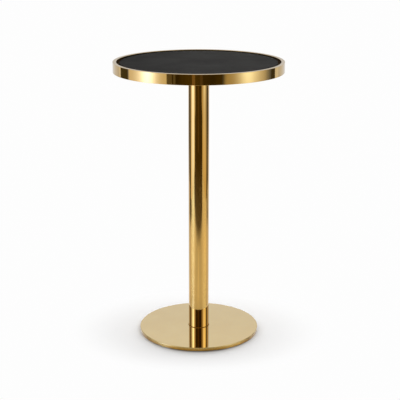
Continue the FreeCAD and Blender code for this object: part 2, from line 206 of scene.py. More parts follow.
@dataclass(frozen=True)
class Finish(ABC):
    """A real material and the way its surface was made.

    Attributes:
        name: The material's name in the scene.
        colour: Its main colour, sRGB hex.
        second_colour: The colour that it drifts to from place to place, sRGB hex.
    """

    name: str
    colour: str
    second_colour: str

    @property
    def colours(self) -> dict[int, Rgba]:
        """Gives both colours as inputs of a mix."""
        return {FIRST: linear(self.colour), SECOND: linear(self.second_colour)}

    @abstractmethod
    def constants(self) -> dict[str, float]:
        """Gives the shader's values that are the same all over the surface."""

    @abstractmethod
    def draw(self, tree: Tree, place: Socket) -> dict[str, Socket]:
        """Draws the surface's patterns.

        Args:
            tree: The material's node tree.
            place: The point on the piece, in metres.

        Returns:
            The socket that goes into each of the shader's inputs that vary.
        """

    def shade(self, tree: Tree, place: Socket) -> Socket:
        """Gives the shader, fed with the constants and with the patterns at a place."""
        inputs = {**self.constants(), **self.draw(tree, place)}
        return add_node(tree, "BsdfPrincipled", inputs=inputs)

    def build(self) -> Material:
        """Makes the material."""
        return drawn_material(self.name, self.shade)


@dataclass(frozen=True)
class PolishedBrassPlate(Finish):
    """Steel sheet, plated with brass, polished to a mirror and sealed under a clear hard lacquer.

    The polish gives sharp reflections, and the lacquer adds a colourless shine that pales the brass
    at low angles. The rolled sheet under it is a little wavy, which draws the edges of those
    reflections out into faint streaks, and handling leaves patches that shine less.

    Attributes:
        waves: The pattern of the sheet's waves.
        wave_depth_mm: How deep the waves are.
        lacquer: How strongly the lacquer shines, from 0 for none to 1 for a full new coat.
        coat_roughness: How rough the lacquer is.
        coat_ior: The lacquer's IOR.
        rubbed_heights_mm: The heights of edges on which the lacquer is rubbed dull.
        edge_strip_mm: How far from such an edge the rubbed strip reaches.
        rub_roughness: What the rubbing adds to the roughness at the edge.
        drift: The pattern in which the plating's colour drifts.
        smudges: The pattern of the marks of handling.
        roughness: The roughness between the smudges and on them.
        hairline_mm: The width of the hairlines that the polishing wheel left. They are a few
            hundredths of a millimetre wide, and are drawn coarser so that they show at all.
        hairline_depth_mm: How deep they are.
        shaded_edge_colour: The deeper, darker gold painted on a turned-down edge as shade, sRGB hex.
        shaded_edge_heights_mm: The heights up to which the edge has all of it and from which it has
            none.
    """

    waves: Pattern
    wave_depth_mm: float
    lacquer: float = 1.0
    coat_roughness: float = 0.03
    coat_ior: float = 1.5
    rubbed_heights_mm: tuple[float, ...] = ()
    edge_strip_mm: float = 1.4
    rub_roughness: float = 0.10
    drift: Pattern = Pattern(70.0)
    smudges: Pattern = Pattern(38.0, detail=4.0)
    roughness: Pair = (0.028, 0.06)
    hairline_mm: float = 0.7
    hairline_depth_mm: float = 0.0004
    shaded_edge_colour: str = ""
    shaded_edge_heights_mm: Pair = (0.0, 0.0)

    def constants(self) -> dict[str, float]:
        """Gives a metal that keeps the default IOR, and its coat of lacquer.

        Returns:
            The value of each of the shader's inputs that don't vary.
        """
        return {
            "Metallic": 1.0,
            "Coat Weight": self.lacquer,
            "Coat Roughness": self.coat_roughness,
            "Coat IOR": self.coat_ior,
        }

    def draw(self, tree: Tree, place: Socket) -> dict[str, Socket]:
        """Draws the waves, hairlines, smudges, rubbed edges, drift of colour and painted edge shade.

        Args:
            tree: The material's node tree.
            place: The point on the piece, in metres.

        Returns:
            The socket that goes into each of the shader's inputs that vary.
        """
        height = add_node(tree, "SeparateXYZ", inputs={0: place}, output=2)
        waves = self.waves.draw(tree, place)
        relief = {"Height": waves, "Distance": self.wave_depth_mm * MM}
        sheet = add_node(tree, "Bump", inputs=relief)
        hairlines = Pattern(self.hairline_mm, self.waves.stretch).draw(tree, place)
        relief = {"Height": hairlines, "Distance": self.hairline_depth_mm * MM, "Normal": sheet}
        polished = add_node(tree, "Bump", inputs=relief)
        dull = self.smudges.draw(tree, place, *self.roughness)
        for edge_mm in self.rubbed_heights_mm:
            away = add_node(tree, "Math", {"operation": "SUBTRACT"}, {0: height, 1: edge_mm * MM})
            distance = add_node(tree, "Math", {"operation": "ABSOLUTE"}, {0: away})
            ends = {"From Max": self.edge_strip_mm * MM, "To Min": self.rub_roughness, "To Max": 0.0}
            edge_strip = add_node(tree, "MapRange", SMOOTH, {"Value": distance, **ends})
            dull = add_node(tree, "Math", {"operation": "ADD"}, {0: dull, 1: edge_strip})
        drift = {SHARE: self.drift.draw(tree, place), **self.colours}
        brass = add_node(tree, "Mix", IN_COLOUR, drift, MIX)
        # Painted shade: the turned-down edge gets a deeper, darker gold.
        if self.shaded_edge_colour:
            deep, plain = (edge_mm * MM for edge_mm in self.shaded_edge_heights_mm)
            ends = {"From Min": deep, "From Max": plain}
            above = add_node(tree, "MapRange", SMOOTH, {"Value": height, **ends})
            plating = {SHARE: above, FIRST: linear(self.shaded_edge_colour), SECOND: brass}
            brass = add_node(tree, "Mix", IN_COLOUR, plating, MIX)
        normals = {"Normal": polished, "Coat Normal": sheet}
        return {"Base Color": brass, "Roughness": dull, **normals}


@dataclass(frozen=True)
class StainedVeneer(Finish):
    """Sliced oak veneer, black with stain and closed with a matt lacquer.

    The eye gets an almost even black with long level streaks along X, open pores and a soft shine
    at low angles.

    Attributes:
        figure: The pattern of the streaks.
        figure_depth_mm: How deep they are.
        pores: The pattern of the rows of pores.
        pore_depth_mm: How deep these are.
        pore_colour: The colour where the pores lie closest, sRGB hex.
        cloud: The pattern in which the lacquer's shine varies.
        roughness: The roughness where it shines most and least.
        edge_radius_mm: The radius of the disc, along whose edge a highlight is painted.
        edge_strip_mm: The width of the painted highlight along the edge.
        edge_highlight_colour: The colour of that painted highlight, sRGB hex.
        edge_highlight_share: How much of that colour the outermost edge has.
        painted_shade_end_mm: Where along X the painted shade starts; it is darkest at the -X edge.
        painted_shade_tint: What painted shade multiplies the colour by at that edge, sRGB hex.
        ior: The IOR of the cellulose lacquer.
        gloss: The little shine that its matting leaves.
    """

    figure: Pattern = Pattern(13.0, Stretch.ALONG_X, 3.0)
    figure_depth_mm: float = 0.05
    pores: Pattern = Pattern(1.1, Stretch.ALONG_X)
    pore_depth_mm: float = 0.03
    pore_colour: str = "#1F1E1D"
    cloud: Pattern = Pattern(120.0, detail=1.0)
    roughness: Pair = (0.66, 0.76)
    edge_radius_mm: float = 285.0
    edge_strip_mm: float = 1.2
    edge_highlight_colour: str = "#4A4743"
    edge_highlight_share: float = 0.5
    painted_shade_end_mm: float = 60.0
    painted_shade_tint: str = "#C6C6C6"
    ior: float = 1.48
    gloss: float = 0.04

    def constants(self) -> dict[str, float]:
        """Gives the lacquer's IOR and shine."""
        return {"Metallic": 0.0, "IOR": self.ior, "Specular IOR Level": self.gloss}

    def draw(self, tree: Tree, place: Socket) -> dict[str, Socket]:
        """Draws figure, pores, a painted edge highlight, painted shade to -X and the lacquer's shine.

        Args:
            tree: The material's node tree.
            place: The point on the piece, in metres.

        Returns:
            The socket that goes into each of the shader's inputs that vary.
        """
        figure, pores = self.figure.draw(tree, place), self.pores.draw(tree, place)
        streaks = add_node(tree, "Mix", IN_COLOUR, {SHARE: figure, **self.colours}, MIX)
        grained = {SHARE: pores, FIRST: linear(self.pore_colour), SECOND: streaks}
        grain = add_node(tree, "Mix", IN_COLOUR, grained, MIX)
        flat = {0: place, 1: (1.0, 1.0, 0.0)}
        level = add_node(tree, "VectorMath", {"operation": "MULTIPLY"}, flat)
        radius = add_node(tree, "VectorMath", {"operation": "LENGTH"}, {0: level}, "Value")
        # Painted highlight: the colour turns paler towards the disc's edge, over its chamfer.
        edge = self.edge_radius_mm * MM
        ends = {"From Min": edge - self.edge_strip_mm * MM, "From Max": edge, "To Max": self.edge_highlight_share}
        edge_strip = add_node(tree, "MapRange", SMOOTH, {"Value": radius, **ends})
        rubbed = {SHARE: edge_strip, FIRST: grain, SECOND: linear(self.edge_highlight_colour)}
        body = add_node(tree, "Mix", IN_COLOUR, rubbed, MIX)
        # Painted shade: the colour is darkened towards the -X edge.
        across = add_node(tree, "SeparateXYZ", inputs={0: place})
        ends = {"From Min": self.painted_shade_end_mm * MM, "From Max": -edge}
        deeper = add_node(tree, "MapRange", inputs={"Value": across, **ends})
        side_shaded = {SHARE: deeper, FIRST: body, SECOND: linear(self.painted_shade_tint)}
        shading = {**IN_COLOUR, "blend_type": "MULTIPLY"}
        relief = {"Height": figure, "Distance": self.figure_depth_mm * MM}
        streaked = add_node(tree, "Bump", inputs=relief)
        relief = {"Height": pores, "Distance": self.pore_depth_mm * MM, "Normal": streaked}
        return {
            "Base Color": add_node(tree, "Mix", shading, side_shaded, MIX),
            "Roughness": self.cloud.draw(tree, place, *self.roughness),
            "Normal": add_node(tree, "Bump", inputs=relief),
        }


@dataclass(frozen=True)
class GrainedFinish(Finish):
    """A surface with one fine grain, over which its colour and its shine drift.

    Attributes:
        grain: The pattern of the grain.
        depth_mm: How deep it is.
        drift: The pattern in which the colour drifts.
        roughness: The roughness where it shines most and least.
        shine: The pattern in which the shine varies, or None where it follows the colour.
        ior: The IOR, or None for a metal, which keeps the default.
        gloss: How strongly what isn't metal shines: 0.5 where its surface is clean and closed.
    """

    grain: Pattern
    depth_mm: float
    drift: Pattern
    roughness: Pair
    shine: Pattern | None = None
    ior: float | None = None
    gloss: float = 0.5

    def constants(self) -> dict[str, float]:
        """Gives a metal's values, or those of what isn't one.

        Returns:
            The value of each of the shader's inputs that don't vary.
        """
        if self.ior is None:
            return {"Metallic": 1.0}
        return {"Metallic": 0.0, "IOR": self.ior, "Specular IOR Level": self.gloss}

    def draw(self, tree: Tree, place: Socket) -> dict[str, Socket]:
        """Draws the grain and the drift of colour and shine.

        Args:
            tree: The material's node tree.
            place: The point on the piece, in metres.

        Returns:
            The socket that goes into each of the shader's inputs that vary.
        """
        drift = {SHARE: self.drift.draw(tree, place), **self.colours}
        relief = {"Height": self.grain.draw(tree, place), "Distance": self.depth_mm * MM}
        return {
            "Base Color": add_node(tree, "Mix", IN_COLOUR, drift, MIX),
            "Roughness": (self.shine or self.drift).draw(tree, place, *self.roughness),
            "Normal": add_node(tree, "Bump", inputs=relief),
        }


# Medium-density fibreboard, routed and sealed with a dark stain that soaks in, and darkened and
# browned further as painted shade and painted gold reflection, since it floors the shadow gap.
# Its open fibres take most of the shine: dull and finely fibrous.
FIBREBOARD = GrainedFinish(
    "fibreboard_routed_sealed_dark_with_painted_gap_shade",
    "#261A0A",
    "#362610",
    grain=Pattern(0.8, detail=4.0),
    depth_mm=0.05,
    drift=Pattern(0.8, detail=4.0),
    roughness=(0.72, 0.9),
    shine=Pattern(30.0),
    ior=1.46,
    gloss=0.05,
)
# Melamine sheet, pressed with a pearl texture: a low sheen, broken by small dimples and scuffs.
MELAMINE = GrainedFinish(
    "melamine_sheet_pressed_pearl",
    "#1A1A1A",
    "#232322",
    grain=Pattern(1.3, detail=0.0),
    depth_mm=0.012,
    drift=Pattern(45.0, detail=5.0),
    roughness=(0.42, 0.6),
    ior=1.6,
)
# Steel plate, blasted and powder coated: a satin black skin with the fine dimples of orange peel.
COATED = GrainedFinish(
    "mild_steel_powder_coated_satin",
    "#1B1B1C",
    "#242425",
    grain=Pattern(1.8, detail=1.0),
    depth_mm=0.02,
    drift=Pattern(24.0, detail=5.0),
    roughness=(0.34, 0.5),
    ior=1.52,
)
# Cold-headed steel, electroplated with zinc and passivated: bright, finely crystalline, and with a
# faint blue and yellow bloom.
ZINC = GrainedFinish(
    "zinc_plated_steel_passivated",
    "#C9CCCF",
    "#CFC9B6",
    grain=Pattern(0.35),
    depth_mm=0.004,
    drift=Pattern(5.0),
    roughness=(0.24, 0.4),
    shine=Pattern(2.2),
)
# Mild steel, turned on a lathe and left oiled: fine level rings and a grey shine, darker where oil
# stands. A lathe's rings lie about 0.15 mm apart, and are drawn 0.5 mm apart so that they show.
TURNED = GrainedFinish(
    "mild_steel_turned_oiled",
    "#9C9B99",
    "#7E7C79",
    grain=Pattern(0.5, Stretch.LEVEL_RINGS, 1.0),
    depth_mm=0.008,
    drift=Pattern(12.0, detail=3.0),
    roughness=(0.26, 0.42),
)
# Nylon, moulded in an eroded tool: matt black and finely grained, with scuffs and a little dust.
NYLON = GrainedFinish(
    "nylon_foot_moulded_grained",
    "#171718",
    "#232322",
    grain=Pattern(0.5),
    depth_mm=0.01,
    drift=Pattern(6.0, detail=4.0),
    roughness=(0.5, 0.7),
    ior=1.53,
)
# Rubber, moulded in an eroded tool: matt golden brown, dulled by the bloom that comes out of it.
RUBBER = GrainedFinish(
    "rubber_gasket_moulded_brown",
    "#9C6A1A",
    "#8A5C16",
    grain=Pattern(0.4),
    depth_mm=0.01,
    drift=Pattern(6.0, detail=4.0),
    roughness=(0.42, 0.62),
    ior=1.52,
    gloss=0.1,
)


@dataclass(frozen=True)
class Level:
    """One level of a turned piece.

    Attributes:
        height_mm: Its height above the floor.
        radius_mm: Its radius, or a function that gives the radius at each angle.
    """

    height_mm: float
    radius_mm: float | RadiusAt

    def at(self, angle: float) -> float:
        """Gives the radius at an angle."""
        return self.radius_mm(angle) if callable(self.radius_mm) else self.radius_mm


def hexagon(across_flats_mm: float) -> RadiusAt:
    """Gives the radius of a hexagon at each angle."""
    sixth = math.tau / 6
    return lambda angle: across_flats_mm / 2 / math.cos((angle + sixth / 2) % sixth - sixth / 2)


@dataclass(frozen=True)
class Corner:
    """A right-angled corner of a hollow piece's outline.

    Attributes:
        radius_mm: Its distance from the axis.
        height_mm: Its height above the floor.
        rounding_mm: The radius to which it is rounded, or 0 where it is left sharp.
    """

    radius_mm: float
    height_mm: float
    rounding_mm: float = 0.0


def outline(corners: Sequence[Corner]) -> list[Level]:
    """Follows a closed outline and rounds its corners.

    Args:
        corners: The outline's corners, in order.

    Returns:
        The outline's levels, which run back to the first one.
    """
    points = [Vector((corner.radius_mm, corner.height_mm)) for corner in corners]
    levels = []
    for place, corner in enumerate(corners):
        here, size = points[place], corner.rounding_mm
        back = (points[place - 1] - here).normalized() * size
        ahead = (points[(place + 1) % len(points)] - here).normalized() * size
        for step in range(BEND_STEPS + 1 if size else 1):
            turn = QUARTER_TURN * step / BEND_STEPS
            point = here + back * (1 - math.sin(turn)) + ahead * (1 - math.cos(turn))
            levels.append(Level(point.y, point.x))
    return levels


def turned(
    name: str,
    levels: Sequence[Level],
    places_mm: Sequence[Pair] = ((0.0, 0.0),),
    columns: int = SCREW_COLUMNS,
    hollow: bool = False,
) -> Item:
    """Turns closed solids of one shape at several places, as one piece.

    Args:
        name: The piece's name.
        levels: The shape's levels, along its outline.
        places_mm: Where the axis of each solid stands.
        columns: How many points go round each level.
        hollow: Whether the outline runs back to its first level, and not between two flat ends.

    Returns:
        The piece, with its origin at the origin of the frame.
    """
    shape = bmesh.new()
    for x_mm, y_mm in places_mm:
        rings = []
        for level in levels:
            ring = []
            for column in range(columns):
                angle = math.tau * column / columns
                x = x_mm + level.at(angle) * math.cos(angle)
                y = y_mm + level.at(angle) * math.sin(angle)
                ring.append(shape.verts.new(Vector((x, y, level.height_mm)) * MM))
            rings.append(ring)
        for lower, upper in zip(rings, rings[1:] + rings[:1] if hollow else rings[1:]):
            for column in range(columns):
                after = (column + 1) % columns
                shape.faces.new((lower[column], lower[after], upper[after], upper[column]))
        if not hollow:
            shape.faces.new(reversed(rings[0]))
            shape.faces.new(rings[-1])
    bmesh.ops.recalc_face_normals(shape, faces=shape.faces[:])
    for face in shape.faces:
        face.smooth = True
    for edge in shape.edges:
        edge.smooth = edge.calc_face_angle(0.0) < SHARP_EDGE
    mesh = bpy.data.meshes.new(name)
    shape.to_mesh(mesh)
    shape.free()
    piece = bpy.data.objects.new(name, mesh)
    bpy.context.scene.collection.objects.link(piece)
    # Large faces keep their own normals, so that a rounded edge shades like one and the flats
    # beside it stay flat.
    piece.modifiers.new("normals_by_area", "WEIGHTED_NORMAL").keep_sharp = True
    return piece


@dataclass(frozen=True)
class Thread:
    """A screw thread, cut or rolled on a round shank.

    Attributes:
        crest_mm: The radius over the crests.
        pitch_mm: The distance from crest to crest.
        depth_mm: How deep the thread is.
        first_mm: The height at which it starts.
        last_mm: The height at which it ends.
        chamfer_mm: The length over which it rises from its root at each end.
        fall: How many times its depth a flank would fall in a whole pitch.
        crest_share: How much of that fall the flat crest takes up on each side of its middle.
    """

    crest_mm: float
    pitch_mm: float
    depth_mm: float
    first_mm: float
    last_mm: float
    chamfer_mm: float
    fall: float = 2.6
    crest_share: float = 0.2

    def levels(self) -> Iterator[Level]:
        """Gives the thread's levels, from its first height to its last.

        Yields:
            Each level, with the radius that winds round it.
        """
        length = self.last_mm - self.first_mm
        count = math.ceil(length / self.pitch_mm * THREAD_STEPS)
        for step in range(count + 1):
            height = self.first_mm + length * step / count
            yield Level(height, self.winding(height))

    def winding(self, height_mm: float) -> RadiusAt:
        """Cuts through the thread at one height.

        Args:
            height_mm: The height of the cut.

        Returns:
            The function that gives the cut's radius at each angle.
        """
        to_end = min(height_mm - self.first_mm, self.last_mm - height_mm)
        limit = self.crest_mm - self.depth_mm * max(0.0, 1 - to_end / self.chamfer_mm)

        def radius(angle: float) -> float:
            """Gives the cut's radius at an angle.

            Args:
                angle: The angle round the axis, in radians.

            Returns:
                The radius in millimetres.
            """
            from_crest = abs((height_mm / self.pitch_mm - angle / math.tau) % 1 - 0.5)
            sunk = min(1.0, max(0.0, from_crest * self.fall - self.crest_share))
            return min(limit, self.crest_mm - self.depth_mm * sunk)

        return radius


@dataclass
class SubAssembly(ABC):
    """A group of the table's pieces that is built, dressed and reported together.

    Attributes:
        nodes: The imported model's pieces, by name.
        materials: The material of each finish, made once for all sub-assemblies.
    """

    nodes: dict[str, Item]
    materials: dict[Finish, Material]

    @abstractmethod
    def build(self) -> Iterator[Item]:
        """Builds and dresses the pieces, and gives each one when it is done."""

    def dress(self, piece: Item, finish: Finish) -> Item:
        """Gives a piece its finish.

        Args:
            piece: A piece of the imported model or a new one.
            finish: What it is made of.

        Returns:
            The same piece.
        """
        if finish not in self.materials:
            self.materials[finish] = finish.build()
        if not piece.material_slots:
            piece.data.materials.append(None)
        for holder in piece.material_slots:
            holder.material = self.materials[finish]
        return piece

    def stand_for(self, piece: Item, node: str, body: str, slot: Slot) -> Item:
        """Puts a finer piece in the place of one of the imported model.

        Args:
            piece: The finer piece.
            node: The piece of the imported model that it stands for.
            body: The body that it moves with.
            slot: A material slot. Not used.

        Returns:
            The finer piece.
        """
        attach(piece, body)
        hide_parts(node)
        return piece


@dataclass
class Tabletop(SubAssembly):
    """The band, the boards inside it and the recessed black top.

    Attributes:
        inset_radius_mm: The radius of the recessed top.
        recess_floor_mm: The height of the board that it lies on.
        band_radius_mm: The band's outer radius.
        band_bottom_mm: The height of its lower edge.
        band_top_mm: The height of its lip.
        band_wall_mm: The thickness of its sheet.
        band_edge_mm: The radius of its rounded edges.
        lip_mm: The width of the lip.
        flange_mm: How far its lower edge is rolled in under the board.
        waves: The waves that the rolls left in the band.
    """

    inset_radius_mm: float = 285.0
    recess_floor_mm: float = 1023.5
    band_radius_mm: float = 310.0
    band_bottom_mm: float = 997.0
    band_top_mm: float = 1034.0
    band_wall_mm: float = 1.5
    band_edge_mm: float = 0.8
    lip_mm: float = 13.0
    flange_mm: float = 8.0
    waves: Pattern = Pattern(16.0, Stretch.UPRIGHT, 1.0)

    def build(self) -> Iterator[Item]:
        """Makes the band, and dresses it, the inset, the boards and the balancing sheet.

        Yields:
            Each piece, once it is dressed.
        """
        # Rolled strip: reflections are drawn out upwards into bands with faintly wavering edges.
        rolled = PolishedBrassPlate(
            "brass_plated_steel_band_rolled_polished",
            "#C5A35A",
            "#C19C53",
            waves=self.waves,
            wave_depth_mm=0.03,
            lacquer=0.5,
            rubbed_heights_mm=(self.band_bottom_mm, self.band_top_mm),
        )
        yield self.dress(self.band(), rolled)
        # Stained oak: an almost even black that only close up shows its grain.
        veneer = StainedVeneer(
            "oak_veneer_stained_black_matt_lacquer",
            "#2E2D2C",
            "#3A3937",
            edge_radius_mm=self.inset_radius_mm,
        )
        yield self.dress(self.nodes["inset_panel"], veneer)
        yield self.dress(self.nodes["core_board"], FIBREBOARD)
        yield self.dress(self.nodes["edge_ring"], FIBREBOARD)
        yield self.dress(self.nodes["backing_sheet"], MELAMINE)

    def band(self) -> Item:
        """Turns the band: its wall, its lip with the wall inside it, and the flange below.

        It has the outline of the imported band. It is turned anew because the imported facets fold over
        themselves on the rounded edges, which a mirror finish shows as dark wedges.

        Returns:
            The band.
        """
        outer, low, high = self.band_radius_mm, self.band_bottom_mm, self.band_top_mm
        floor, wall, edge = self.recess_floor_mm, self.band_wall_mm, self.band_edge_mm
        lip, flange = outer - self.lip_mm, outer - self.flange_mm
        corners = [
            Corner(flange, low),
            Corner(outer, low, edge),
            Corner(outer, high, edge),
            Corner(lip, high, edge),
            Corner(lip, floor),
            Corner(lip + wall, floor),
            Corner(lip + wall, high - wall),
            Corner(outer - wall, high - wall),
            Corner(outer - wall, low + wall),
            Corner(flange, low + wall),
        ]
        levels = outline(corners)
        piece = turned("rolled_rim_band", levels, columns=WIDE_COLUMNS, hollow=True)
        return self.stand_for(piece, "rim_band", "root", Slot.BRASS)


@dataclass
class Undercarriage(SubAssembly):
    """The spider under the top and the socket screws that hold it.

    Attributes:
        arms: The directions of the spider's arms.
        screw_rows_mm: The distances from the axis at which the screws stand on each arm.
        head_bottom_mm: The height of the heads' lower faces.
        head_height_mm: The height of a head.
        head_radius_mm: The radius of a head.
        bevel_mm: The radius of the head's rounded edge.
        socket_mm: The size of the hexagon socket, across its flats.
        socket_depth_mm: Its depth.
        socket_bevel_mm: The height and width of the bevel round its mouth.
        shank: The wood thread of a screw.
    """

    arms: tuple[Pair, ...] = ((1, 0), (0, 1), (-1, 0), (0, -1))
    screw_rows_mm: Pair = (123.5, 182.0)
    head_bottom_mm: float = 988.5
    head_height_mm: float = 3.2
    head_radius_mm: float = 5.0
    bevel_mm: float = 1.2
    socket_mm: float = 3.6
    socket_depth_mm: float = 1.8
    socket_bevel_mm: float = 0.25
    shank: Thread = Thread(
        crest_mm=2.4, pitch_mm=2.2, depth_mm=0.6, first_mm=991.7, last_mm=1017.5, chamfer_mm=3.0
    )

    def build(self) -> Iterator[Item]:
        """Dresses the spider and makes the screws with their sockets and threads."""
        yield self.dress(self.nodes["top_spider"], COATED)
        yield self.dress(self.screws(), ZINC)

    def screws(self) -> Item:
        """Turns the eight screws, from the bottom of the socket to the point.

        Returns:
            The screws, as one piece.
        """
        places = [(x * row, y * row) for x, y in self.arms for row in self.screw_rows_mm]
        bottom, radius, bevel = self.head_bottom_mm, self.head_radius_mm, self.bevel_mm
        mouth = self.socket_mm + 2 * self.socket_bevel_mm
        levels = [
            Level(bottom + self.socket_depth_mm, hexagon(self.socket_mm)),
            Level(bottom + self.socket_bevel_mm, hexagon(self.socket_mm)),
            Level(bottom, hexagon(mouth)),
        ]
        for step in range(BEND_STEPS + 1):
            turn = QUARTER_TURN * step / BEND_STEPS
            up, inward = bevel * (1 - math.cos(turn)), bevel * (1 - math.sin(turn))
            levels.append(Level(bottom + up, radius - inward))
        levels += [Level(bottom + self.head_height_mm, radius), *self.shank.levels()]
        piece = turned("spider_socket_screws", levels, places)
        return self.stand_for(piece, "spider_screws", "root", Slot.ZINC)


@dataclass
class Column(SubAssembly):
    """The round tube, what centres it at both ends, and the rod that clamps the table together.

    Attributes:
        waves: The waves that drawing left in the tube.
        turned_nodes: The pieces of turned steel.
        plated_nodes: The pieces of zinc-plated steel.
    """

    waves: Pattern = Pattern(7.0, Stretch.UPRIGHT, 1.0)
    turned_nodes: tuple[str, ...] = ("upper_collar", "foot_collar")
    plated_nodes: tuple[str, ...] = ("tie_rod", "top_washer", "top_nut", "collar_washer", "jam_nut")

    def build(self) -> Iterator[Item]:
        """Dresses the tube, its gasket, the collars and the clamping parts.

        Yields:
            Each piece, once it is dressed.
        """
        # Drawn tube: long upright reflections with fine streaks beside them, under little lacquer.
        drawn = PolishedBrassPlate(
            "brass_plated_steel_tube_drawn_polished",
            "#C79F54",
            "#C49B50",
            waves=self.waves,
            wave_depth_mm=0.006,
            lacquer=0.3,
        )
        yield self.dress(self.nodes["column_tube"], drawn)
        yield self.dress(self.nodes["column_gasket"], RUBBER)
        for name in self.turned_nodes:
            yield self.dress(self.nodes[name], TURNED)
        for name in self.plated_nodes:
            yield self.dress(self.nodes[name], ZINC)


@dataclass
class Base(SubAssembly):
    """The thin polished skin of the base and the steel disc that it covers.

    Attributes:
        cover_radius_mm: The skin's outer radius.
        cover_bottom_mm: The height of its lower edge.
        cover_top_mm: The height of its flat top.
        cover_wall_mm: Its thickness.
        bend_mm: The inner radius of the bend round its edge.
        rod_hole_mm: The radius of its hole for the tie rod.
        waves: The shallow waves in the skin, which is thin and only glued to the disc.
        shade_drops_mm: How far below the top its edge has all of the painted shade, and none.
    """

    cover_radius_mm: float = 226.0
    cover_bottom_mm: float = 1.5
    cover_top_mm: float = 14.0
    cover_wall_mm: float = 1.2
    bend_mm: float = 1.0
    rod_hole_mm: float = 6.3
    waves: Pattern = Pattern(130.0, detail=1.0)
    shade_drops_mm: Pair = (5.0, 1.6)

    def build(self) -> Iterator[Item]:
        """Makes the skin, and dresses it and the disc.

        Yields:
            Each piece, once it is dressed.
        """
        deep, plain = (self.cover_top_mm - drop for drop in self.shade_drops_mm)
        # Spun sheet: a broad mirror that is hardly wavy, pale under its full lacquer, with painted
        # shade, a deeper gold, round its turned-down edge.
        spun = PolishedBrassPlate(
            "brass_plated_steel_cover_spun_polished",
            "#C2A660",
            "#BFA159",
            waves=self.waves,
            wave_depth_mm=0.05,
            rubbed_heights_mm=(self.cover_bottom_mm,),
            shaded_edge_colour="#B08428",
            shaded_edge_heights_mm=(deep, plain),
        )
        yield self.dress(self.cover(), spun)
        yield self.dress(self.nodes["base_weight"], COATED)

    def cover(self) -> Item:
        """Turns the skin: a flat top with a hole for the tie rod, and its edge turned down.

        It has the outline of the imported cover. It is turned anew for the same reason as the band.

        Returns:
            The skin.
        """
        edge, wall, bend = self.cover_radius_mm, self.cover_wall_mm, self.bend_mm
        low, high, hole = self.cover_bottom_mm, self.cover_top_mm, self.rod_hole_mm
        corners = [
            Corner(hole, high - wall),
            Corner(edge - wall, high - wall, bend),
            Corner(edge - wall, low),
            Corner(edge, low),
            Corner(edge, high, bend + wall),
            Corner(hole, high),
        ]
        levels = outline(corners)
        piece = turned("spun_base_cover", levels, columns=WIDE_COLUMNS, hollow=True)
        return self.stand_for(piece, "base_cover", "root", Slot.BRASS)


@dataclass
class Glides(SubAssembly):
    """The four levelling glides: threaded studs whose flat heads turn in moulded feet.

    Attributes:
        angles: The directions in which they stand, in degrees.
        circle_mm: The radius of the circle that they stand on.
        head_radius_mm: The radius of a stud's head.
        head_bottom_mm: The height of its lower face.
        head_edge_mm: The width of the head's broken edge.
        thread: The stud's thread.
    """

    angles: tuple[float, ...] = (45.0, 135.0, 225.0, 315.0)
    circle_mm: float = 190.0
    head_radius_mm: float = 7.5
    head_bottom_mm: float = 1.3
    head_edge_mm: float = 0.2
    thread: Thread = Thread(
        crest_mm=4.0, pitch_mm=1.25, depth_mm=0.67, first_mm=2.5, last_mm=12.3, chamfer_mm=0.9
    )

    def build(self) -> Iterator[Item]:
        """Makes the studs with their threads and dresses the feet.

        Yields:
            Each piece, once it is dressed.
        """
        for number, angle in enumerate(map(math.radians, self.angles), 1):
            place = (self.circle_mm * math.cos(angle), self.circle_mm * math.sin(angle))
            yield self.dress(self.stud(number, place), ZINC)
            yield self.dress(self.nodes[f"glide_pad_{number}"], NYLON)

    def stud(self, number: int, place: Pair) -> Item:
        """Turns one stud, from its head up.

        Args:
            number: The glide's number.
            place: Where it stands, in millimetres.

        Returns:
            The stud, in place of the plain one.
        """
        bottom, top = self.head_bottom_mm, self.thread.first_mm
        radius, edge = self.head_radius_mm, self.head_edge_mm
        levels = [
            Level(bottom, radius - edge),
            Level(bottom + edge, radius),
            Level(top - edge, radius),
            Level(top, radius - edge),
            *self.thread.levels(),
        ]
        piece = turned(f"glide_threaded_stud_{number}", levels, [place])
        return self.stand_for(piece, f"glide_stud_{number}", f"glide_{number}_screw", Slot.ZINC)


@dataclass(frozen=True)
class Spot:
    """A pool of light on a card or on the floor.

    Attributes:
        centre: Its centre, along and across what it lies on, in metres.
        spread: The distances along and across at which a quarter of its light is left.
        glow: How bright it is at its centre, where 1 is white.
        tone: The colour of its light, sRGB hex.
        echo: Whether it shows only where one mirror sees it in another, such as the tube in the
            polished base.
    """

    centre: Pair
    spread: Pair
    glow: float
    tone: str = "#FFFFFF"
    echo: bool = False

    def pool(self, tree: Tree, place: Socket, under: Socket) -> Socket:
        """Adds the pool to a surface's light.

        Args:
            tree: The surface's node tree.
            place: The point on the surface.
            under: The light that the surface has without the pool.

        Returns:
            The shader with both lights.
        """
        centre, spread = (*self.centre, 0.0), (*self.spread, 1.0)
        away = add_node(tree, "VectorMath", {"operation": "SUBTRACT"}, {0: place, 1: centre})
        share = add_node(tree, "VectorMath", {"operation": "DIVIDE"}, {0: away, 1: spread})
        squaring = {"operation": "DOT_PRODUCT"}
        square = add_node(tree, "VectorMath", squaring, {0: share, 1: share}, "Value")
        # The light falls off with the square of 1 + square, which is 4 at the spread.
        fall = add_node(tree, "Math", {"operation": "ADD"}, {0: square, 1: 1.0})
        loss = add_node(tree, "Math", {"operation": "POWER"}, {0: fall, 1: 2.0})
        glow: Socket | float = self.glow
        if self.echo:
            met = add_node(tree, "LightPath", output="Glossy Depth")
            twice = add_node(tree, "Math", {"operation": "GREATER_THAN"}, {0: met, 1: ONE_MIRROR})
            glow = add_node(tree, "Math", {"operation": "MULTIPLY"}, {0: twice, 1: glow})
        strength = add_node(tree, "Math", {"operation": "DIVIDE"}, {0: glow, 1: loss})
        light = {"Color": linear(self.tone), "Strength": strength}
        shine = add_node(tree, "Emission", inputs=light)
        return add_node(tree, "AddShader", inputs={0: under, 1: shine})


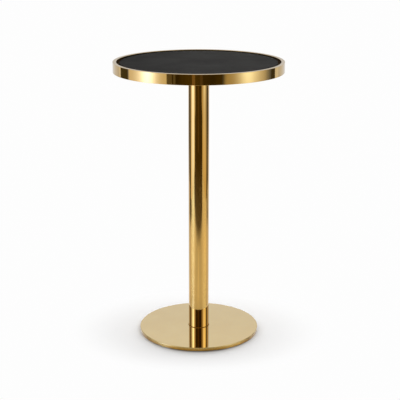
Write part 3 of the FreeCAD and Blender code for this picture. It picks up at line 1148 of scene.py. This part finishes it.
@dataclass(frozen=True)
class Softbox:
    """A large soft lamp that faces the table's foot and that neither camera nor metal sees.

    Attributes:
        name: The lamp's name.
        place: Where it stands, in metres.
        size: Its width and height.
        watts: Its power.
    """

    name: str
    place: Point
    size: Pair
    watts: float

    def build(self) -> Item:
        """Makes the lamp.

        Returns:
            The lamp, in the scene.
        """
        light = bpy.data.lights.new(self.name, "AREA")
        light.shape = "RECTANGLE"
        light.size, light.size_y = self.size
        light.energy = self.watts
        lamp = bpy.data.objects.new(self.name, light)
        lamp.location = self.place
        lamp.rotation_euler = Vector(self.place).to_track_quat("Z", "Y").to_euler()
        lamp.visible_camera = False
        lamp.visible_glossy = False
        bpy.context.scene.collection.objects.link(lamp)
        return lamp


@dataclass(frozen=True)
class Card:
    """An upright flat card beside the table, which shows in its polished metal alone.

    Attributes:
        name: The card's name.
        first: Where its first end stands, in metres.
        last: Where its last end stands.
        height: How tall it is.
        glow: How bright it is at the floor, where 1 is white.
        steps: For each change further up: the heights between which it happens, and what it adds
            to the glow.
        folds: The same for each change along it, at distances from its first end.
        tone: The colour of its light, sRGB hex.
        spots: Where lamps shine through it.
        soft: The lengths over which its first and its last end come up from dark, in metres.
    """

    name: str
    first: Pair
    last: Pair
    height: float = 2.3
    glow: float = 1.0
    steps: tuple[Point, ...] = ()
    folds: tuple[Point, ...] = ()
    tone: str = "#FFFFFF"
    spots: tuple[Spot, ...] = ()
    soft: Pair = (0.0, 0.0)

    @property
    def run(self) -> Vector:
        """Gives the way from its first end to its last."""
        return Vector(self.last) - Vector(self.first)

    def build(self) -> Item:
        """Makes the card. Its own X runs from its first end to its last, and its own Y runs up.

        Returns:
            The card, in the scene.
        """
        corners = rectangle((0.0, 0.0), (self.run.length, self.height))
        card = sheet(self.name, drawn_material(self.name, self.draw), corners, 0.0)
        upright = Matrix.Rotation(QUARTER_TURN, 4, "X")
        heading = Matrix.Rotation(math.atan2(self.run.y, self.run.x), 4, "Z")
        card.matrix_world = Matrix.Translation((*self.first, CARPET_HEIGHT)) @ heading @ upright
        return in_metal_alone(card)

    def draw(self, tree: Tree, place: Socket) -> Socket:
        """Draws the card's glow: its even light, the changes in it, and the spots on top of it.

        Args:
            tree: The card's node tree.
            place: The point on the card.

        Returns:
            The shader with the light.
        """
        along, up = (add_node(tree, "SeparateXYZ", inputs={0: place}, output=n) for n in (0, 1))
        strength: Socket | float = self.glow
        changes = [(up, *step) for step in self.steps] + [(along, *fold) for fold in self.folds]
        for measure, low, high, gain in changes:
            ends = {"From Min": low, "From Max": high, "To Max": gain}
            change = add_node(tree, "MapRange", SMOOTH, {"Value": measure, **ends})
            strength = add_node(tree, "Math", {"operation": "ADD"}, {0: strength, 1: change})
        length = self.run.length
        for end, bright in ((0.0, self.soft[0]), (length, length - self.soft[1])):
            if end != bright:
                ends = {"From Min": end, "From Max": bright, "To Min": SOFT_END}
                share = add_node(tree, "MapRange", SMOOTH, {"Value": along, **ends})
                both = {0: strength, 1: share}
                strength = add_node(tree, "Math", {"operation": "MULTIPLY"}, both)
        glow = {"Color": linear(self.tone), "Strength": strength}
        light = add_node(tree, "Emission", inputs=glow)
        for spot in self.spots:
            light = spot.pool(tree, place, light)
        return light


@dataclass(frozen=True)
class Cloth:
    """A dark cloth on the floor, which shows in the polished metal alone and thins out inwards.

    Attributes:
        name: The cloth's name.
        corners: Its corners, counterclockwise, in metres.
        away: The level direction in which it gets denser.
        start: The distance from the table, in that direction, at which it starts.
        dense: The distance from which it is densest.
        glow: How bright it is, where 1 is white.
        tone: The colour of its light, sRGB hex.
        cover: How much of the floor it hides where it is densest.
        height: How high it lies.
    """

    name: str
    corners: Corners
    away: Point
    start: float
    dense: float
    glow: float
    tone: str
    cover: float = 1.0
    height: float = CLOTH_HEIGHT

    def build(self) -> Item:
        """Makes the cloth."""
        material = drawn_material(self.name, self.draw)
        return in_metal_alone(sheet(self.name, material, self.corners, self.height))

    def draw(self, tree: Tree, place: Socket) -> Socket:
        """Draws the cloth, clear at its start and dark where it is dense.

        Args:
            tree: The cloth's node tree.
            place: The point on the cloth.

        Returns:
            The shader with the light.
        """
        along, ways = {"operation": "DOT_PRODUCT"}, {0: place, 1: self.away}
        distance = add_node(tree, "VectorMath", along, ways, "Value")
        ends = {"From Min": self.start, "From Max": self.dense, "To Max": self.cover}
        share = add_node(tree, "MapRange", SMOOTH, {"Value": distance, **ends})
        clear = add_node(tree, "BsdfTransparent")
        light = {"Color": linear(self.tone), "Strength": self.glow}
        dark = add_node(tree, "Emission", inputs=light)
        return add_node(tree, "MixShader", inputs={0: share, 1: clear, 2: dark})


def rectangle(low: Pair, high: Pair) -> Corners:
    """Gives a rectangle's corners, counterclockwise from the one with the lowest coordinates."""
    return low, (high[0], low[1]), high, (low[0], high[1])


def wedge(near: float, far: float, left: float, right: float) -> Corners:
    """Marks out a wedge of floor in front of the table, whose sides point at the column.

    Args:
        near: Its distance from the column.
        far: How far it reaches.
        left: How far its left side stands out, for each metre from the column.
        right: The same for its right side.

    Returns:
        Its four corners, counterclockwise.
    """
    front = (-far * left, -far), (far * right, -far)
    return *front, (near * right, -near), (-near * left, -near)


def sheet(name: str, material: Material, corners: Corners, height: float) -> Item:
    """Makes a level sheet that isn't in the scene yet.

    Args:
        name: Its name.
        material: Its material.
        corners: Its corners, counterclockwise.
        height: How high it lies.

    Returns:
        The sheet.
    """
    mesh = bpy.data.meshes.new(name)
    mesh.from_pydata([(*corner, height) for corner in corners], [], [range(len(corners))])
    mesh.materials.append(material)
    return bpy.data.objects.new(name, mesh)


def in_metal_alone(item: Item) -> Item:
    """Puts a studio object in the scene so that only reflections show it.

    Args:
        item: The object.

    Returns:
        The same object.
    """
    item.visible_camera = False
    item.visible_diffuse = False
    item.visible_shadow = False
    bpy.context.scene.collection.objects.link(item)
    return item


@dataclass
class Studio:
    """A white floor and backdrop, two soft lamps, and the cards and cloths that the metal mirrors.

    Attributes:
        white: The brightness of the floor and the backdrop, where 1 would be pure white.
        ambient: How much light comes from all round, as a share of what lights a white sheet fully.
        lamps: The lamp above the table, a little to its right, and the one behind it, which draws
            the dark line under the front of the base.
        wall: How far the walls at the table's sides stand from the column, in metres.
        box_gap: How far in front of its wall a box stands.
        floor_reach: How far the floor reaches.
        shadow: The distances from the column up to which the floor shows its shadow in full, and
            from which it is evenly white.
        shadow_oval: What those distances are multiplied by along X, Y and Z, so that the shadow
            lies wide.
        paper: How white the floor's paper is.
        painted_shadow: The centre of a crescent of painted shadow on the paper along the front of the
        base, which closes the gap there.
        painted_shadow_edges: Where it is darkest and where it ends, as distances from that centre.
        painted_shadow_paper: How white the paper is where it is darkest.
        pools: The pools of light on the floor beside the table and at the feet of the walls.
        pool_area: Where the sheet that bears the pools starts and ends along Y.
        polish: The roughness of the floor's faint polish.
        polish_ior: The IOR of that polish.
        polish_area: Where it starts and ends along Y.
        dark: The colour of the dark end of the studio, sRGB hex.
        black: The tone of the light on black cloth.
    """

    white: float = 0.985
    ambient: float = 0.55
    lamps: tuple[Softbox, ...] = (
        Softbox("overhead_softbox", (0.5, 0.0, 3.4), (3.2, 3.2), 22.0),
        Softbox("rear_softbox", (0.0, 3.3, 1.3), (7.5, 1.4), 190.0),
    )
    wall: float = 1.85
    box_gap: float = 0.01
    floor_reach: float = 14.0
    shadow: Pair = (0.23, 0.43)
    shadow_oval: Point = (0.86, 1.06, 1.0)
    paper: float = 0.94
    painted_shadow: Point = (0.0, -0.02, 0.0)
    painted_shadow_edges: Pair = (0.206, 0.222)
    painted_shadow_paper: float = 0.40
    pools: tuple[Spot, ...] = (
        Spot((-1.85, -0.80), (0.9, 0.9), 1.1, "#8CBCFF"),
        Spot((1.85, -0.84), (0.9, 0.9), 0.04),
        Spot((-0.95, -0.30), (0.6, 0.8), 0.25, "#FFF8E6"),
        Spot((0.95, -0.25), (0.6, 0.7), 0.21, "#FFF0CC"),
        Spot((-0.04, -0.70), (0.09, 0.6), 0.24, "#FFF0CC"),
    )
    pool_area: Pair = (-2.2, 1.6)
    polish: float = 0.09
    polish_ior: float = 1.8
    polish_area: Pair = (-3.3, 2.19)
    dark: str = "#4F4010"
    black: str = "#FFEDAA"

    def cards(self) -> Iterator[Card]:
        """Gives the cards: walls, flags and boxes at the sides, the backdrop, and the dark end's.

        Yields:
            Each card, still to be built.
        """
        left, right, black = -self.wall, self.wall, self.black
        yield Card(
            "wall_left",
            (left, 0.32),
            (left, -2.20),
            glow=1.15,
            steps=((0.15, 0.6, -0.18),),
            tone="#FFF9EF",
            spots=(
                Spot((1.17, 0.92), (0.52, 0.58), 7.2, "#A5B9FF"),
                Spot((1.17, 0.23), (0.45, 0.34), 2.1, "#599DFF"),
                Spot((0.95, 0.80), (0.6, 0.6), 5.2, "#5A9CFF", echo=True),
            ),
            soft=(0.14, 0.0),
        )
        yield Card(
            "wall_right",
            (right, -3.30),
            (right, 0.42),
            glow=0.88,
            steps=((0.15, 0.6, -0.34),),
            tone="#FFEAB8",
            spots=(
                Spot((2.34, 1.0), (0.73, 0.55), 4.1, "#BDD2FF"),
                Spot((2.93, 0.80), (0.36, 0.6), 1.7, "#F2FFEC", echo=True),
            ),
            soft=(0.8, 0.6),
        )
        yield Card("flag_left", (left, 1.00), (left, 0.32), glow=0.085, tone=black)
        yield Card("flag_left_low", (left, 1.70), (left, 1.00), 0.6, 0.09, tone=black)
        yield Card("flag_right", (right, 0.42), (right, 0.77), glow=0.07, tone=black)
        yield Card("flag_right_low", (right, 0.77), (right, 1.30), 0.6, 0.09, tone=black)
        box = self.wall - self.box_gap
        yield Card("box_left", (-box, -1.86), (-box, -2.20), 0.30, 0.09, tone=black)
        yield Card("box_right", (box, -3.30), (box, -2.14), 0.27, 0.09, tone=black)
        steps = ((0.3, 0.5, 0.2), (0.85, 1.05, 0.06), (1.12, 1.3, -0.39))
        yield Card("backdrop", (0.55, 2.2), (-0.55, 2.2), 2.6, 0.80, steps)
        yield Card("backdrop_left", (-0.55, 2.2), (-3.0, 2.2), 2.6, 0.60, steps[:1])
        yield Card("backdrop_right", (3.0, 2.2), (0.55, 2.2), 2.6, 0.60, steps[:1])
        yield Card("wall_end_left", (left, -2.20), (left, -2.80), glow=0.17, tone="#FFEDC0")
        yield Card("stand_left", (left, -2.98), (left, -3.33), glow=0.16, tone="#FFEDC0")
        yield Card("stand_middle", (-0.42, -3.0), (-0.24, -3.0), glow=0.28, tone="#FFD38A")
        yield Card("stand_right", (0.08, -3.0), (0.26, -3.0), glow=0.13, tone="#FFD692")
        folds = (
            (1.9, 2.5, 0.35),
            (2.6, 3.3, 0.2),
            (4.3, 5.3, -0.42),
            (5.4, 6.1, -0.11),
            (6.2, 6.9, 0.26),
        )
        yield Card("curtain", (-4.5, -5.2), (4.5, -5.2), 3.5, 0.62, folds=folds, tone=self.dark)

    def cloths(self) -> Iterator[Cloth]:
        """Gives the carpet in front of the white floor, and the black cloth at the flags' feet.

        The carpet and its fringe are wedges that widen away from the table.

        Yields:
            Each cloth, still to be built.
        """
        front, left, right = (0.0, -1.0, 0.0), (-1.0, 0.0, 0.0), (1.0, 0.0, 0.0)
        dark, black, wall = self.dark, self.black, self.wall
        fringe, carpet = wedge(0.95, 8.0, 1.2, 0.865), wedge(1.3, 8.0, 1.2, 0.865)
        yield Cloth("carpet_fringe", fringe, front, 0.95, 1.42, 1.0, dark, 0.88)
        yield Cloth("carpet", carpet, front, 1.3, 2.9, 1.0, dark, height=CARPET_HEIGHT)
        foot = rectangle((-wall, 0.32), (-1.2, 0.92))
        yield Cloth("flag_left_foot", foot, left, 1.2, 1.4, 0.085, black)
        hem = rectangle((-wall, -0.25), (-1.3, 0.32))
        yield Cloth("flag_left_hem", hem, left, 1.35, 1.6, 0.085, black, 0.45)
        foot = rectangle((1.2, 0.40), (wall, 0.80))
        yield Cloth("flag_right_foot", foot, right, 1.2, 1.4, 0.085, black)

    def build(self) -> Iterator[Item]:
        """Makes the floor, its polish and its glow, the cloths, the cards, the lamps and the world.

        Yields:
            Each object of the studio, once it is in the scene.
        """
        reach, inside = self.floor_reach, self.wall - self.box_gap
        paper = drawn_material("studio_floor_white_paper", self.draw_paper)
        floor = sheet("studio_floor", paper, rectangle((-reach, -reach), (reach, reach)), 0.0)
        bpy.context.scene.collection.objects.link(floor)
        yield floor
        gloss = drawn_material("studio_floor_polish", self.draw_polish)
        area = rectangle((-inside, self.polish_area[0]), (inside, self.polish_area[1]))
        yield in_metal_alone(sheet("studio_floor_polish", gloss, area, POLISH_HEIGHT))
        glow = drawn_material("studio_floor_glow_of_walls", self.draw_glow)
        area = rectangle((-inside, self.pool_area[0]), (inside, self.pool_area[1]))
        yield in_metal_alone(sheet("studio_floor_glow", glow, area, GLOW_HEIGHT))
        for item in (*self.cloths(), *self.cards(), *self.lamps):
            yield item.build()
        self.surround()

    def draw_paper(self, tree: Tree, place: Socket) -> Socket:
        """Draws the floor's paper, which keeps the table's shadow and fades to even white round it.

        The floor is clear from below.

        Args:
            tree: The floor's node tree.
            place: The point on the floor.

        Returns:
            The shader of the floor.
        """
        drawn = {0: place, 1: self.shadow_oval}
        oval = add_node(tree, "VectorMath", {"operation": "MULTIPLY"}, drawn)
        radius = add_node(tree, "VectorMath", {"operation": "LENGTH"}, {0: oval}, "Value")
        ends = dict(zip(("From Min", "From Max"), self.shadow))
        share = add_node(tree, "MapRange", SMOOTH, {"Value": radius, **ends})
        # Painted shadow: the paper is darker in a crescent along the front of the base.
        ways = {0: place, 1: self.painted_shadow}
        distance = add_node(tree, "VectorMath", {"operation": "DISTANCE"}, ways, "Value")
        ends = dict(zip(("From Min", "From Max"), self.painted_shadow_edges))
        tones = {"To Min": self.painted_shadow_paper, "To Max": self.paper}
        shade = add_node(tree, "MapRange", SMOOTH, {"Value": distance, **ends, **tones})
        grey = add_node(tree, "CombineColor", inputs={0: shade, 1: shade, 2: shade})
        paper = add_node(tree, "BsdfDiffuse", inputs={"Color": grey})
        light = {"Color": linear("#FFFFFF"), "Strength": self.white}
        even = add_node(tree, "Emission", inputs=light)
        cover = add_node(tree, "MixShader", inputs={0: share, 1: paper, 2: even})
        from_below = add_node(tree, "NewGeometry", output="Backfacing")
        clear = add_node(tree, "BsdfTransparent")
        return add_node(tree, "MixShader", inputs={0: from_below, 1: cover, 2: clear})

    def draw_polish(self, tree: Tree, place: Socket) -> Socket:
        """Draws the faint polish in which the column sees the walls' light a second time.

        Args:
            tree: The polish's node tree.
            place: The point on the floor, which makes no difference to the polish.

        Returns:
            The shader of the polish.
        """
        share = add_node(tree, "Fresnel", inputs={"IOR": self.polish_ior})
        clear = add_node(tree, "BsdfTransparent")
        white = {"Color": linear("#FFFFFF"), "Roughness": self.polish}
        gloss = add_node(tree, "BsdfAnisotropic", inputs=white)
        return add_node(tree, "MixShader", inputs={0: share, 1: clear, 2: gloss})

    def draw_glow(self, tree: Tree, place: Socket) -> Socket:
        """Draws the light that falls on the floor, which the column's lower part mirrors.

        Args:
            tree: The node tree of the glow.
            place: The point on the floor.

        Returns:
            The shader with the light.
        """
        light = add_node(tree, "BsdfTransparent")
        for spot in self.pools:
            light = spot.pool(tree, place, light)
        return light

    def surround(self) -> None:
        """Makes the world: white for the camera and polished metal, and softer ambient light."""
        world = bpy.data.worlds.new("studio_surroundings")
        world.use_nodes = True
        tree = world.node_tree
        tree.nodes.clear()
        seen = add_node(tree, "LightPath", output="Is Camera Ray")
        for ray in ("Is Glossy Ray", "Is Transmission Ray"):
            either = {0: seen, 1: add_node(tree, "LightPath", output=ray)}
            seen = add_node(tree, "Math", {"operation": "MAXIMUM"}, either)
        ends = {"To Min": self.ambient, "To Max": self.white}
        strength = add_node(tree, "MapRange", inputs={"Value": seen, **ends})
        light = {"Color": linear("#FFFFFF"), "Strength": strength}
        glow = add_node(tree, "Background", inputs=light)
        add_node(tree, "OutputWorld", inputs={"Surface": glow})
        bpy.context.scene.world = world


@dataclass
class PhotoCamera:
    """The camera of the photograph.

    Attributes:
        distance: How far it stands in front of the column, in metres.
        height: Its height above the floor.
        pitch: How far it looks down, in degrees.
        focal_px: Its focal length in pixels of the photograph.
        axis_px: Where the column's axis is across the photograph.
        sensor_mm: The width of its sensor.
        clip_end: How far it sees, in metres.
    """

    distance: float = 3.778
    height: float = 1.5905
    pitch: float = 15.92
    focal_px: float = 1051.3
    axis_px: float = 198.75
    sensor_mm: float = 36.0
    clip_end: float = 60.0

    def build(self) -> Item:
        """Makes the camera and gives it to the scene.

        Returns:
            The camera.
        """
        lens = bpy.data.cameras.new("photo_camera")
        lens.sensor_width = self.sensor_mm
        lens.lens = self.focal_px / PHOTO_SIDE * self.sensor_mm
        lens.shift_x = (PHOTO_SIDE / 2 - self.axis_px) / PHOTO_SIDE
        lens.clip_end = self.clip_end
        camera = bpy.data.objects.new("photo_camera", lens)
        camera.location = (0.0, -self.distance, self.height)
        camera.rotation_euler = (math.radians(90 - self.pitch), 0.0, 0.0)
        bpy.context.scene.collection.objects.link(camera)
        bpy.context.scene.camera = camera
        return camera


def main() -> None:
    """Builds the table's sub-assemblies, the studio and the camera."""
    logging.basicConfig(level=logging.INFO, format="%(name)s: %(message)s")
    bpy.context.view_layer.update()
    materials: dict[Finish, Material] = {}
    for group in (Tabletop, Undercarriage, Column, Base, Glides):
        for piece in group(frame["nodes"], materials).build():
            LOG.info("%s: %s, %s", group.__name__, piece.name, piece.active_material.name)
    for item in Studio().build():
        LOG.info("studio: %s", item.name)
    LOG.info("camera: %s", PhotoCamera().build().name)
    bpy.context.scene.view_settings.view_transform = "Standard"


if __name__ == "__main__":
    main()
